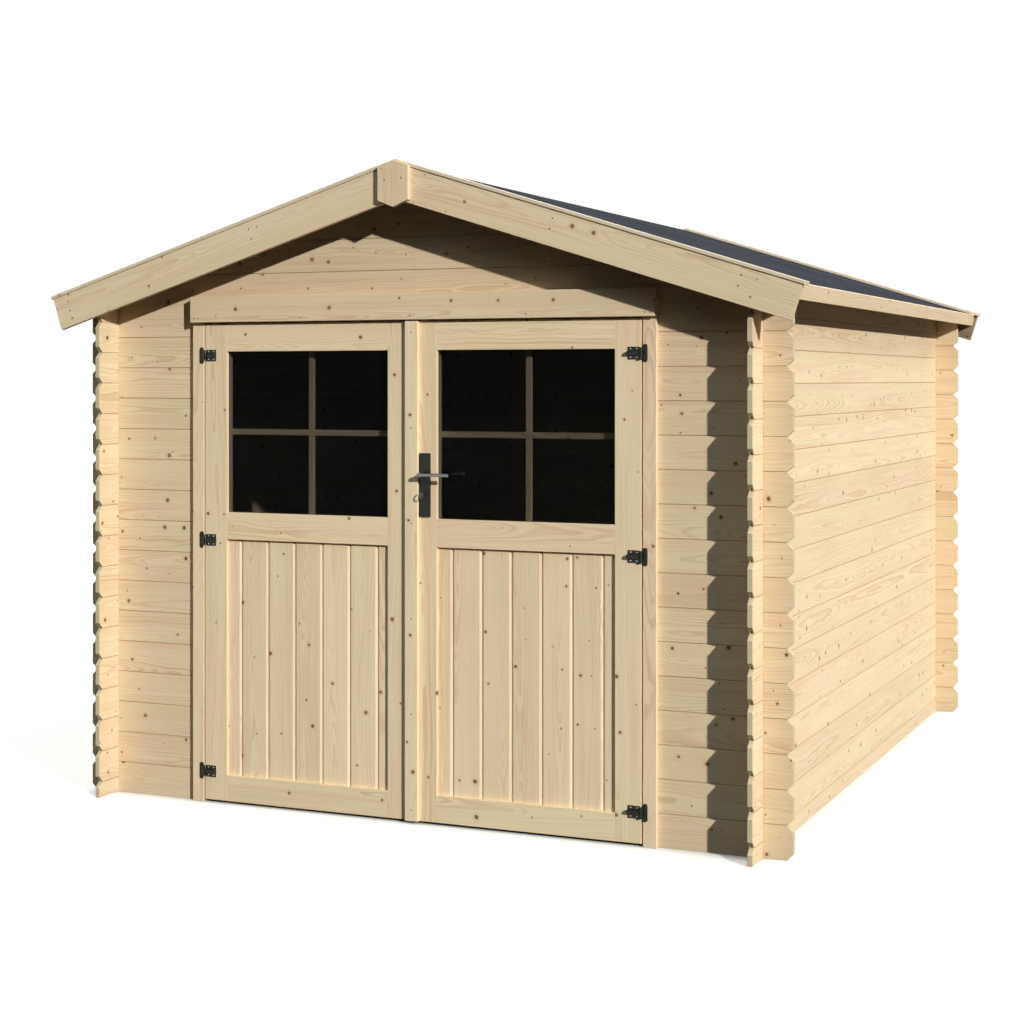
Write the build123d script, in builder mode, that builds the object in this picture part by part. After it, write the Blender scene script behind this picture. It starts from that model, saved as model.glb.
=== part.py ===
"""Wooden garden shed built from interlocking wall boards, with a pair of half-glazed doors."""
from build123d import *
import math
import os

# Walls. The front faces -Y, the ground is Z = 0 and the plan is centred on the origin.
shed_width = 2520.0
shed_depth = 2970.0
board_pitch = 114.0
board_thickness = 18.0
wall_courses = 16
front_overrun = 101.0
side_overrun = 122.0
end_chamfer = 21.0
neck_height = 57.0
notch_clearance = 0.4
tongue_height = 9.0
tongue_thickness = 6.0
tongue_cut_back = 18.0

# Roof
roof_slope = 0.3123
deck_thickness = 19.0
felt_thickness = 4.0
eave_reach = 158.0
verge_reach = 149.0
verge_height = 120.0
verge_thickness = 18.0
verge_end_reach = 12.0
eave_board_height = 52.0
eave_board_thickness = 18.0
cap_width = 60.0
cap_thickness = 12.0
cap_front_lip = 4.0
cap_end_lip = 6.0
purlin_width = 45.0
purlin_depth = 80.0
side_purlin_place = 630.0
finial_width = 117.0
finial_thickness = 20.0
finial_length = 161.0
finial_point = 24.0
finial_rise = 6.0
roof_clearance = 0.4

# Door frame
door_opening_width = 1707.0
head_height = 62.0
post_face = 48.0
post_proud = 18.0
post_groove_depth = 25.0
groove_clearance = 0.3
stop_width = 14.0
stop_gap = 5.0
lintel_height = 94.0
lintel_thickness = 19.0

# Door leaves
leaf_gap = 5.0
leaf_ground_gap = 10.0
leaf_thickness = 40.0
meeting_gap = 6.5
meeting_edge = -21.5
hinge_stile_width = 93.5
lock_stile_edge = 96.0
top_rail_height = 102.0
middle_rail_height = 99.0
middle_rail_bottom = 968.0
bottom_rail_height = 95.0
panel_thickness = 16.0
panel_recess = 12.0
panel_groove_depth = 10.0
glass_thickness = 4.0
glass_recess = 14.0
glass_groove_depth = 8.0
cover_strip_width = 50.0
cover_strip_thickness = 15.0

# Hinges
hinge_heights = (115.0, 964.0, 1641.0)
hinge_plate_thickness = 2.0
hinge_leaf_size = 42.0
hinge_leaf_setback = 5.0
hinge_frame_width = 17.0
hinge_frame_height = 61.0
hinge_frame_offset = 11.5
hinge_strap_thickness = 3.0
boss_radius = 7.0
boss_overhang = 2.0
barrel_radius = 6.0
barrel_length = 38.0
barrel_sides = 16
pin_radius = 2.5
pin_clearance = 0.5
barrel_gap = 0.4

# Handle
handle_plate_width = 42.0
handle_plate_height = 222.0
handle_plate_thickness = 6.0
handle_plate_corner = 3.0
handle_plate_drop = 148.0
handle_plate_offset = 2.0
lever_height = 1222.0
lever_reach = 112.0
lever_bar_height = 12.0
lever_bar_thickness = 9.0
lever_bar_rounding = 4.3
lever_neck_radius = 8.0
lever_standoff = 41.0
spindle_side = 8.0
spindle_hole_radius = 9.0
spindle_clearance = 0.4
keyhole_drop = 72.0
key_shank_radius = 2.5
key_shank_length = 16.0
key_bow_height = 26.0
key_bow_width = 22.0
key_bow_wire = 3.0

# Places worked out from the sizes above
front_y = -shed_depth / 2
corner_x = shed_width / 2
wall_top = (wall_courses + 0.5) * board_pitch
front_wall_top = wall_courses * board_pitch
door_opening_height = front_wall_top - head_height
roof_angle = math.degrees(math.atan(roof_slope))
along = math.cos(math.radians(roof_angle))
fall = math.sin(math.radians(roof_angle))
roof_thickness = deck_thickness + felt_thickness
ridge_z = wall_top + corner_x * roof_slope + roof_thickness / along
underside_ridge_z = ridge_z - roof_thickness / along
eave_s = (corner_x + eave_reach) / along
verge_s = eave_s + verge_end_reach
verge_y = front_y - verge_reach
verge_inner_y = verge_y + verge_thickness
ridge_plane = Plane(origin=(0, 0, ridge_z), x_dir=(along, 0, -fall), z_dir=(0, -1, 0))
post_inner_x = door_opening_width / 2
post_outer_x = post_inner_x + post_face
post_front_y = front_y - post_proud
post_back_y = front_y + board_thickness + post_proud
groove_bottom_x = post_outer_x - post_groove_depth
wall_end_x = groove_bottom_x + groove_clearance
leaf_outer_x = post_inner_x - leaf_gap
leaf_top_z = door_opening_height - leaf_gap
leaf_back_y = post_front_y + leaf_thickness
middle_rail_top = middle_rail_bottom + middle_rail_height
top_rail_bottom = leaf_top_z - top_rail_height
bottom_rail_top = leaf_ground_gap + bottom_rail_height
axis_x = leaf_outer_x + leaf_gap / 2
axis_y = post_front_y - hinge_plate_thickness - barrel_radius
strap_y = post_front_y - hinge_plate_thickness - hinge_strap_thickness / 2
middle_barrel = barrel_length / 3
panel_front_y = post_front_y + panel_recess
glass_front_y = post_front_y + glass_recess
plate_left_x = meeting_edge + cover_strip_width + handle_plate_offset
lever_x = plate_left_x + handle_plate_width / 2
keyhole_z = lever_height - keyhole_drop

os.makedirs("parts", exist_ok=True)
finished = []


def finish(piece, label):
    """Label one finished piece and keep it for writing."""
    piece.label = label
    finished.append(piece)


def block(low, high):
    """A plain block between two opposite corners."""
    size = [b - a for a, b in zip(low, high)]
    centre = [(a + b) / 2 for a, b in zip(low, high)]
    return Pos(*centre) * Box(*size)


def mirrored_x(piece):
    """The same piece on the other side of the shed."""
    return mirror(piece, about=Plane.YZ)


def board_end(tip, inward, seams):
    """Points up one end of a wall, where each board's corners are cut back at its seams."""
    points = []
    for low, high in zip(seams, seams[1:]):
        points.append((tip + inward * end_chamfer, low))
        points.append((tip, low + end_chamfer))
        points.append((tip, high - end_chamfer))
    points.append((tip + inward * end_chamfer, seams[-1]))
    return points


def cut_tongue_holes(middle_plane, tips, seams):
    """Open the small hollows over the seams at a wall's ends, where the tongues stop short in their grooves."""
    with BuildSketch(middle_plane) as hollows:
        for tip, outward in tips:
            middle = tip - outward * (end_chamfer + tongue_cut_back) / 2
            with Locations(*[(middle, seam + tongue_height / 2) for seam in seams]):
                Rectangle(end_chamfer + tongue_cut_back, tongue_height)
    extrude(hollows.sketch, amount=tongue_thickness / 2, both=True, mode=Mode.SUBTRACT)


def front_seams(first, last):
    """Heights of the seams of the front and rear boards, which start with a whole board."""
    return [course * board_pitch for course in range(first, last + 1)]


def side_seams(last):
    """Heights of the seams of the side boards, which start with half a board."""
    return [(course - 0.5) * board_pitch for course in range(0, last + 1)]


def under_roof(length):
    """The space under the roof boards, as a prism along Y with a ridge at X = 0."""
    far = corner_x + front_overrun + eave_reach
    low = underside_ridge_z - far * roof_slope
    with BuildPart() as space:
        with BuildSketch(Plane.XZ.offset(length / 2)):
            Polygon((-far, low - shed_depth), (far, low - shed_depth), (far, low),
                    (0, underside_ridge_z), (-far, low), align=None)
        extrude(amount=-length)
    return space.part


roof_space = under_roof(2 * shed_depth)

# Neck slots: where the side boards' necks cross the front and rear walls, and the other way round
side_neck_heights = [course * board_pitch for course in range(wall_courses + 1)]
front_neck_heights = [(course + 0.5) * board_pitch for course in range(wall_courses + 1)]
slot_width = board_thickness + 2 * notch_clearance
slot_height = neck_height + 2 * notch_clearance
front_column_x = corner_x - board_thickness / 2
side_column_y = -front_y - board_thickness / 2

front_tip_x = corner_x + front_overrun
front_middle = Plane.XZ.offset(-front_y - board_thickness / 2)
rear_middle = Plane.XZ.offset(front_y + board_thickness / 2)
both_tips = [(-front_tip_x, -1), (front_tip_x, 1)]

# Front wall beside the doorway, right of it
with BuildPart() as front_wall_right:
    with BuildSketch(Plane.XZ.offset(-front_y)):
        right_tip = board_end(front_tip_x, -1, front_seams(0, wall_courses))
        Polygon((wall_end_x, 0), *right_tip, (wall_end_x, front_wall_top), align=None)
        with Locations(*[(front_column_x, z) for z in side_neck_heights]):
            Rectangle(slot_width, slot_height, mode=Mode.SUBTRACT)
    extrude(amount=-board_thickness)
    cut_tongue_holes(front_middle, [(front_tip_x, 1)], front_seams(1, wall_courses - 1))
finish(front_wall_right.part, "front_wall_right")
finish(mirrored_x(front_wall_right.part), "front_wall_left")


def gable_outline(first_seam):
    """Outline of a wall that is as wide as the shed and runs up past the roof."""
    top_seam = wall_courses + 1
    right_side = board_end(front_tip_x, -1, front_seams(first_seam, top_seam))
    left_side = [(-x, z) for x, z in reversed(right_side)]
    peak = (0, ridge_z + board_pitch)
    return right_side + [peak] + left_side


# Front gable, over the doorway
with BuildPart() as front_gable:
    with BuildSketch(Plane.XZ.offset(-front_y)):
        Polygon(*gable_outline(wall_courses), align=None)
        with Locations(*[(side * front_column_x, side_neck_heights[-1]) for side in (-1, 1)]):
            Rectangle(slot_width, slot_height, mode=Mode.SUBTRACT)
    extrude(amount=-board_thickness)
    cut_tongue_holes(front_middle, both_tips, front_seams(wall_courses, wall_courses))
    add(roof_space, mode=Mode.INTERSECT)

# Rear wall with its gable in one piece
with BuildPart() as rear_wall:
    with BuildSketch(Plane.XZ.offset(front_y + board_thickness)):
        Polygon(*gable_outline(0), align=None)
        with Locations(*[(side * front_column_x, z) for side in (-1, 1) for z in side_neck_heights]):
            Rectangle(slot_width, slot_height, mode=Mode.SUBTRACT)
    extrude(amount=-board_thickness)
    cut_tongue_holes(rear_middle, both_tips, front_seams(1, wall_courses))
    add(roof_space, mode=Mode.INTERSECT)

# Right side wall: it starts with half a board, and its top is planed to the roof's slope
with BuildPart() as right_wall:
    with BuildSketch(Plane.YZ.offset(corner_x)):
        tip_y = side_overrun - front_y
        rear_tip = board_end(tip_y, -1, side_seams(wall_courses + 1))
        front_tip = [(-y, z) for y, z in reversed(rear_tip)]
        top = wall_top + board_pitch
        Polygon(*rear_tip, (tip_y, top), (-tip_y, top), *front_tip, align=None)
        with Locations(*[(side * side_column_y, z) for side in (-1, 1) for z in front_neck_heights]):
            Rectangle(slot_width, slot_height, mode=Mode.SUBTRACT)
    extrude(amount=-board_thickness)
    side_middle = Plane.YZ.offset(corner_x - board_thickness / 2)
    cut_tongue_holes(side_middle, [(-tip_y, -1), (tip_y, 1)], side_seams(wall_courses)[1:])
    split(bisect_by=Plane.XY, keep=Keep.TOP)
    add(roof_space, mode=Mode.INTERSECT)
finish(right_wall.part, "right_wall")
finish(mirrored_x(right_wall.part), "left_wall")

# Roof beams: their tops are planed to the slope, and they run from verge board to verge board
beam_length = -2 * verge_inner_y


def beam(place):
    """One roof beam that runs from front to rear at the given X."""
    top = ridge_z
    bottom = underside_ridge_z - abs(place) * roof_slope - purlin_depth
    with BuildPart() as length:
        with BuildSketch(Plane.XZ.offset(beam_length / 2)):
            half = purlin_width / 2
            Polygon((place - half, bottom), (place + half, bottom), (place + half, top),
                    (place - half, top), align=None)
        extrude(amount=-beam_length)
        add(roof_space, mode=Mode.INTERSECT)
    return length.part


def beam_slots(wall):
    """The wall with a slot for each roof beam."""
    for place in (-side_purlin_place, 0, side_purlin_place):
        half = purlin_width / 2 + roof_clearance
        bottom = underside_ridge_z - abs(place) * roof_slope - purlin_depth - roof_clearance
        wall = wall - block((place - half, -shed_depth, bottom), (place + half, shed_depth, ridge_z))
    return wall


finish(beam_slots(front_gable.part), "front_gable")
finish(beam_slots(rear_wall.part), "rear_wall")
finish(beam(0), "ridge_purlin")
finish(Compound(children=[beam(-side_purlin_place), beam(side_purlin_place)]), "side_purlins")


def roof_layer(top, bottom, far, front, rear):
    """A layer of the right roof slope, between two heights over the roof plane."""
    with BuildPart() as layer:
        with BuildSketch(Plane(ridge_plane.origin + Vector(0, front, 0), x_dir=ridge_plane.x_dir,
                               z_dir=ridge_plane.z_dir)):
            Polygon((-bottom * roof_slope, bottom), (far, bottom), (far, top),
                    (-top * roof_slope, top), align=None)
        extrude(amount=front - rear)
    return layer.part


def both_slopes(piece, label):
    """Keep a piece of the right slope and the same piece on the left slope."""
    finish(piece, label + "_right")
    finish(mirrored_x(piece), label + "_left")


deck_s = eave_s - eave_board_thickness
both_slopes(roof_layer(-felt_thickness, -roof_thickness, deck_s, verge_inner_y, -verge_inner_y), "roof_deck")
both_slopes(roof_layer(0, -felt_thickness, deck_s, verge_inner_y, -verge_inner_y), "roof_felt")

# Verge boards, with ends cut square to the slope
front_verge = roof_layer(0, -verge_height, verge_s, verge_y, verge_inner_y)
both_slopes(front_verge, "front_verge")
both_slopes(mirror(front_verge, about=Plane.XZ), "rear_verge")

# Cap strips over the joint between verge board and felt, notched round the finial
cap_block = roof_layer(cap_thickness, 0, verge_s + cap_end_lip, verge_y - cap_front_lip,
                       verge_y - cap_front_lip + cap_width)
finial_half = finial_width / 2 + roof_clearance
cap_notch = block((-finial_half, verge_y - 2 * finial_thickness, front_wall_top),
                  (finial_half, verge_y, ridge_z + board_pitch))
front_cap = cap_block - cap_notch
both_slopes(front_cap, "front_verge_cap")
both_slopes(mirror(front_cap, about=Plane.XZ), "rear_verge_cap")

# Eave boards, square to the slope, over the edges of the roof boards and the felt
with BuildPart() as eave_board:
    with BuildSketch(Plane(ridge_plane.origin + Vector(0, verge_inner_y, 0), x_dir=ridge_plane.x_dir,
                           z_dir=ridge_plane.z_dir)):
        with Locations((eave_s - eave_board_thickness / 2, -eave_board_height / 2)):
            Rectangle(eave_board_thickness, eave_board_height)
    extrude(amount=2 * verge_inner_y)
both_slopes(eave_board.part, "eave_board")

# Finials over the ridge joint of the verge boards
with BuildPart() as front_finial:
    with BuildSketch(Plane.XZ.offset(-verge_y)):
        top = ridge_z + finial_rise
        half = finial_width / 2
        bottom = top - finial_length
        Polygon((0, bottom), (half, bottom + finial_point), (half, top - half * roof_slope), (0, top),
                (-half, top - half * roof_slope), (-half, bottom + finial_point), align=None)
    extrude(amount=finial_thickness)
finish(front_finial.part, "front_finial")
finish(mirror(front_finial.part, about=Plane.XZ), "rear_finial")

# Door posts, grooved for the wall boards and with a stop behind the leaf
with BuildPart() as door_post_right:
    with BuildSketch(Plane.XY):
        groove_front = front_y - groove_clearance
        groove_back = front_y + board_thickness + groove_clearance
        stop_front = leaf_back_y + stop_gap
        Polygon((post_inner_x, post_front_y), (post_outer_x, post_front_y), (post_outer_x, groove_front),
                (groove_bottom_x, groove_front), (groove_bottom_x, groove_back),
                (post_outer_x, groove_back), (post_outer_x, post_back_y),
                (post_inner_x, post_back_y), align=None)
    extrude(amount=front_wall_top)
    with BuildSketch(Plane.XY):
        Polygon((post_inner_x, stop_front), (post_inner_x, post_back_y),
                (post_inner_x - stop_width, post_back_y), (post_inner_x - stop_width, stop_front), align=None)
    extrude(amount=door_opening_height)
finish(door_post_right.part, "door_post_right")
finish(mirrored_x(door_post_right.part), "door_post_left")

# Head between the posts, up to the gable, with a stop behind the leaves
head_body = block((-post_inner_x, post_front_y, door_opening_height),
                  (post_inner_x, post_back_y, front_wall_top))
head_stop = block((stop_width - post_inner_x, stop_front, door_opening_height - stop_width),
                  (post_inner_x - stop_width, post_back_y, door_opening_height))
finish(head_body + head_stop, "door_head")
finish(block((-post_outer_x, post_front_y - lintel_thickness, door_opening_height),
             (post_outer_x, post_front_y, door_opening_height + lintel_height)), "lintel_board")


# Hole through the right leaf for the lever's spindle
spindle_hole = Pos(lever_x, post_front_y, lever_height) * Rot(90, 0, 0) * Cylinder(
    spindle_hole_radius, 4 * leaf_thickness)


def stile(left, right, grooves):
    """One upright of a leaf, with the grooves for the panel and the glass cut out of it."""
    body = block((left, post_front_y, leaf_ground_gap), (right, leaf_back_y, leaf_top_z))
    return body - grooves[0] - grooves[1] - spindle_hole


def panel_groove(low_x, high_x):
    """The space of the panel's groove between two X places, from the bottom rail to the middle rail."""
    return block((low_x, panel_front_y - groove_clearance, bottom_rail_top - panel_groove_depth),
                 (high_x, panel_front_y + panel_thickness + groove_clearance,
                  middle_rail_bottom + panel_groove_depth))


def glass_groove(low_x, high_x):
    """The space of the glass groove between two X places, from the middle rail to the top rail."""
    return block((low_x, glass_front_y - groove_clearance, middle_rail_top - glass_groove_depth),
                 (high_x, glass_front_y + glass_thickness + groove_clearance,
                  top_rail_bottom + glass_groove_depth))


def leaf_frame(name, low_edge, field_low, field_high, high_edge):
    """Stiles, rails, panel and glass of one leaf, whose panel field runs between two X places."""
    grooves = [panel_groove(field_low - panel_groove_depth, field_high + panel_groove_depth),
               glass_groove(field_low - glass_groove_depth, field_high + glass_groove_depth)]
    finish(Compound(children=[stile(low_edge, field_low, grooves), stile(field_high, high_edge, grooves)]),
           name + "_door_stiles")
    rails = []
    for low, high in ((leaf_ground_gap, bottom_rail_top), (middle_rail_bottom, middle_rail_top),
                      (top_rail_bottom, leaf_top_z)):
        rail = block((field_low, post_front_y, low), (field_high, leaf_back_y, high))
        rails.append(rail - grooves[0] - grooves[1])
    finish(Compound(children=rails), name + "_door_rails")
    grip = panel_groove_depth - groove_clearance
    finish(block((field_low - grip, panel_front_y, bottom_rail_top - grip),
                 (field_high + grip, panel_front_y + panel_thickness, middle_rail_bottom + grip)),
           name + "_door_panel")
    hold = glass_groove_depth - groove_clearance
    finish(block((field_low - hold, glass_front_y, middle_rail_top - hold),
                 (field_high + hold, glass_front_y + glass_thickness, top_rail_bottom + hold)),
           name + "_door_glass")


field_outer_x = leaf_outer_x - hinge_stile_width
leaf_frame("right", meeting_edge, lock_stile_edge, field_outer_x, leaf_outer_x)
leaf_frame("left", -leaf_outer_x, -field_outer_x, -lock_stile_edge, meeting_edge - meeting_gap)

# Cover strip on the right leaf's meeting edge
finish(block((meeting_edge, post_front_y - cover_strip_thickness, leaf_ground_gap),
             (meeting_edge + cover_strip_width, post_front_y, leaf_top_z)), "cover_strip")


def barrel(radius):
    """Outline of a hinge barrel or pin, drawn with flats."""
    RegularPolygon(radius, barrel_sides)


def hinge_on_frame(height):
    """Hinge part on the right post: a plate with round ends, two outer barrels and the pin."""
    with BuildPart() as part:
        with BuildSketch(Plane.XZ.offset(-post_front_y)):
            with Locations((axis_x + hinge_frame_offset, height)):
                SlotOverall(hinge_frame_height, hinge_frame_width, rotation=90)
        extrude(amount=hinge_plate_thickness)
        for low in (height - barrel_length / 2, height + middle_barrel / 2 + barrel_gap):
            with BuildSketch(Plane.XY.offset(low)):
                with Locations((axis_x, axis_y)):
                    barrel(barrel_radius)
                with Locations((axis_x + hinge_frame_offset / 2, strap_y)):
                    Rectangle(hinge_frame_offset, hinge_strap_thickness)
            extrude(amount=(barrel_length - middle_barrel) / 2 - barrel_gap)
        with BuildSketch(Plane.XY.offset(height - barrel_length / 2)):
            with Locations((axis_x, axis_y)):
                barrel(pin_radius)
        extrude(amount=barrel_length)
    return part.part


def hinge_on_leaf(height):
    """Hinge part on the right leaf: a plate, a thick boss across it and the middle barrel."""
    plate_x = leaf_outer_x - hinge_leaf_setback - hinge_leaf_size / 2
    boss_end_x = axis_x - barrel_radius - pin_clearance
    boss_start_x = plate_x - hinge_leaf_size / 2 - boss_overhang
    with BuildPart() as part:
        with BuildSketch(Plane.XZ.offset(-post_front_y)):
            with Locations((plate_x, height)):
                Rectangle(hinge_leaf_size, hinge_leaf_size)
        extrude(amount=hinge_plate_thickness)
        with BuildSketch(Plane.YZ.offset(boss_start_x)):
            with Locations((axis_y, height)):
                barrel(boss_radius)
        extrude(amount=boss_end_x - boss_start_x)
        with BuildSketch(Plane.XY.offset(height - middle_barrel / 2)):
            with Locations((axis_x, axis_y)):
                barrel(barrel_radius)
            with Locations(((axis_x + boss_end_x) / 2 - boss_overhang / 2, axis_y)):
                Rectangle(axis_x - boss_end_x + boss_overhang, 2 * hinge_strap_thickness)
            with Locations((axis_x, axis_y)):
                RegularPolygon(pin_radius + pin_clearance, barrel_sides, mode=Mode.SUBTRACT)
        extrude(amount=middle_barrel)
    return part.part


frame_hinges = [hinge_on_frame(height) for height in hinge_heights]
leaf_hinges = [hinge_on_leaf(height) for height in hinge_heights]
finish(Compound(children=frame_hinges), "right_hinge_frames")
finish(Compound(children=[mirrored_x(hinge) for hinge in frame_hinges]), "left_hinge_frames")
finish(Compound(children=leaf_hinges), "right_hinge_leaves")
finish(Compound(children=[mirrored_x(hinge) for hinge in leaf_hinges]), "left_hinge_leaves")


def handle_plate(face_y, outward):
    """A long plate with holes for the lever's neck and the key, on one face of the leaf."""
    with BuildPart() as plate:
        with BuildSketch(Plane.XZ.offset(-face_y)):
            with Locations((lever_x, lever_height - handle_plate_drop + handle_plate_height / 2)):
                RectangleRounded(handle_plate_width, handle_plate_height, handle_plate_corner)
            with Locations((lever_x, lever_height)):
                Circle(lever_neck_radius + spindle_clearance, mode=Mode.SUBTRACT)
            with Locations((lever_x, keyhole_z)):
                Circle(key_shank_radius + spindle_clearance, mode=Mode.SUBTRACT)
        extrude(amount=-outward * handle_plate_thickness)
    return plate.part


finish(Compound(children=[handle_plate(post_front_y, -1), handle_plate(leaf_back_y, 1)]), "handle_plates")


def lever(face_y, outward):
    """One lever: a round neck out of the plate and a flattened bar towards the hinges."""
    reach_y = outward * (handle_plate_thickness + lever_standoff)
    bar_start_x = lever_x - lever_neck_radius
    with BuildPart() as bar:
        with BuildSketch(Plane.XZ.offset(-face_y)):
            with Locations((lever_x, lever_height)):
                Circle(lever_neck_radius)
        extrude(amount=-reach_y)
        with BuildSketch(Plane.YZ.offset(bar_start_x)):
            with Locations((face_y + reach_y, lever_height)):
                RectangleRounded(lever_bar_thickness, lever_bar_height, lever_bar_rounding)
        extrude(amount=lever_x + lever_reach - bar_start_x)
    return bar.part


spindle = block((lever_x - spindle_side / 2, post_front_y, lever_height - spindle_side / 2),
                (lever_x + spindle_side / 2, leaf_back_y, lever_height + spindle_side / 2))
finish(lever(post_front_y, -1) + spindle + lever(leaf_back_y, 1), "handle_lever")

# Key in the lock under the lever
with BuildPart() as key:
    with BuildSketch(Plane.XZ.offset(-post_front_y)):
        with Locations((lever_x, keyhole_z)):
            Circle(key_shank_radius)
    extrude(amount=handle_plate_thickness + key_shank_length)
    with BuildSketch(Plane.YZ.offset(lever_x - key_bow_wire / 2)):
        shank_end_y = post_front_y - handle_plate_thickness - key_shank_length
        with Locations((shank_end_y - key_bow_width / 2 + key_bow_wire / 2, keyhole_z)):
            Ellipse(key_bow_width / 2, key_bow_height / 2)
            Ellipse(key_bow_width / 2 - key_bow_wire, key_bow_height / 2 - key_bow_wire, mode=Mode.SUBTRACT)
    extrude(amount=key_bow_wire)
finish(key.part, "key")

for piece in finished:
    export_step(piece, "parts/" + piece.label + ".step")
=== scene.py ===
"""Looks of the wooden garden shed: boards, felt, half-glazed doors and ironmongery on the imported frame."""
import math
import random

import bmesh
import bpy
from bpy.props import FloatProperty, FloatVectorProperty, PointerProperty
from mathutils import Matrix, Vector


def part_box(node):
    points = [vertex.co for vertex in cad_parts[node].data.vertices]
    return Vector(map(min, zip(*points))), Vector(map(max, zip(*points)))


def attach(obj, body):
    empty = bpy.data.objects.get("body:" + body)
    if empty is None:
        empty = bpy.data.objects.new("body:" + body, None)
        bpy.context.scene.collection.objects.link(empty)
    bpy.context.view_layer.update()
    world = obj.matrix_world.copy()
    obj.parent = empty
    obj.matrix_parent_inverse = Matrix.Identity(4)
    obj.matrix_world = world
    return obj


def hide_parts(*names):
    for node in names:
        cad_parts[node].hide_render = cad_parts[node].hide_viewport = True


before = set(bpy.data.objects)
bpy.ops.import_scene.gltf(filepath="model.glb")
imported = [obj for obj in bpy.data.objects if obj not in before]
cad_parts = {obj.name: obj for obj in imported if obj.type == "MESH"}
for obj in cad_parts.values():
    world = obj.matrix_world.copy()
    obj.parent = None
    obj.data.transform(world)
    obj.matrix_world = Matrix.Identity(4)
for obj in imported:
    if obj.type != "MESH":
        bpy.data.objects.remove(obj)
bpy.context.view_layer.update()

bl_info = {
    "name": "Garden shed looks",
    "version": (1, 0, 0),
    "blender": (4, 5, 0),
    "location": "3D View > Sidebar > Shed",
    "description": "Dresses a garden shed's frame with boards, felt, glass and ironmongery",
    "category": "Object",
}

X = Vector((1, 0, 0))
Y = Vector((0, 1, 0))
Z = Vector((0, 0, 1))

# Faces and edges that many pieces share, read from the frame
leaf_face_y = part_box("right_door_rails")[0].y
leaf_back_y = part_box("right_door_rails")[1].y
front_wall_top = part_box("front_wall_right")[1].z
verge_face_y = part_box("front_verge_right")[0].y
ridge = Vector((0, 0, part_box("roof_felt_right")[1].z))

# The finials stand this much further in than the solids, so that their nail heads stay in the solids' box
nail_room = 0.0005

# Metal faces that meet at less than this many radians are shaded as one round face
plate_smoothing = 0.6
round_smoothing = 0.7


def slope_of(node):
    """Unit vectors down a right roof slope and square to it, read from the node's own points."""
    points = [vertex.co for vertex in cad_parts[node].data.vertices]
    top = max(points, key=lambda point: point.z)
    far = max(points, key=lambda point: point.x + point.z)
    down = (Vector((far.x, 0, far.z)) - Vector((top.x, 0, top.z))).normalized()
    return down, Vector((-down.z, 0, down.x))


slope_down, slope_up = slope_of("roof_felt_right")


def slope_vectors(sign):
    """Unit vectors down one roof slope and square to it: sign is 1 on the right and -1 on the left."""
    return Vector((sign * slope_down.x, 0, slope_down.z)), Vector((sign * slope_up.x, 0, slope_up.z))


def linear(red, green, blue):
    """A colour given as screen values from 0 to 255, as Blender's own linear colour."""
    shares = [value / 255 for value in (red, green, blue)]
    return tuple(s / 12.92 if s <= 0.04045 else ((s + 0.055) / 1.055) ** 2.4 for s in shares)


def length(name, description, default):
    """A size in metres that a user may change."""
    return FloatProperty(name=name, description=description, default=default, min=0.0, unit="LENGTH",
                         precision=4)


def share(name, description, default):
    """A plain share between nothing and one."""
    return FloatProperty(name=name, description=description, default=default, min=0.0, max=1.0,
                         subtype="FACTOR")


def strength(name, description, default):
    """The strength of a light."""
    return FloatProperty(name=name, description=description, default=default, min=0.0)


def colour(name, description, default):
    """A colour that a user may change."""
    return FloatVectorProperty(name=name, description=description, default=default, min=0.0, max=1.0,
                               size=3, subtype="COLOR")


def aim(name, description, default):
    """A direction from the shed, of any length."""
    return FloatVectorProperty(name=name, description=description, default=default, size=3,
                               subtype="DIRECTION")


class ShedTimberSettings(bpy.types.PropertyGroup):
    """Sizes and colours of the boards."""
    board_pitch: length("Board pitch", "Height of one wall board from seam to seam", 0.114)
    deck_board: length("Roof board", "Width of one roof board", 0.0898)
    seam_bevel: length("Seam bevel", "Width of the bevel along each board's seam", 0.0019)
    edge_bevel: length("Edge bevel", "Width of the planed bevel on other edges", 0.0011)
    ring_spacing: length("Ring spacing", "Thickness of one yearly ring", 0.0036)
    knot_cell: length("Knot cell", "Side of the square in which at most one knot grows", 0.095)
    knot_share: share("Knot share", "Share of those squares that hold a knot", 0.42)
    wood: colour("Wood", "Early wood between the ring lines", linear(237, 217, 182))
    ring: colour("Ring", "Late wood along the ring lines", linear(196, 154, 108))
    blush: colour("Blush", "Pink heartwood streaks", linear(232, 200, 170))
    straw: colour("Straw", "Greenish sapwood streaks", linear(231, 215, 175))
    knot: colour("Knot", "Heart of a knot", linear(158, 106, 64))
    knot_rim: colour("Knot rim", "Bark ring round a knot", linear(82, 56, 38))
    end_grain: colour("End grain", "Sawn ends of the boards", linear(209, 195, 160))
    # The seam colour is painted shade with some dust: it darkens the bevels along the seams as the shade in
    # the narrow joints would.
    seam: colour("Seam", "Shaded bevels along the seams", linear(176, 138, 98))
    weathered: colour("Weathered", "Greyed wood on the cap strips", linear(222, 214, 200))


class ShedRoofSettings(bpy.types.PropertyGroup):
    """Sizes and colours of the roof felt."""
    strip_width: length("Strip width", "Width of one strip of felt up the slope", 0.9)
    lap_step: length("Lap step", "Thickness of one layer of felt", 0.002)
    ridge_strip: length("Ridge strip", "Half width of the strip over the ridge", 0.25)
    felt: colour("Felt", "Bitumen and slate grit", linear(63, 65, 72))
    grit: colour("Grit", "Palest grains of the grit", linear(112, 114, 121))
    soot: colour("Soot", "Darkest grains of the grit", linear(33, 34, 38))
    nail_gap: length("Nail gap", "Distance between the clout nails", 0.1)
    clout_radius: length("Clout nail radius", "Radius of a clout nail's head", 0.0042)


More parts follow.
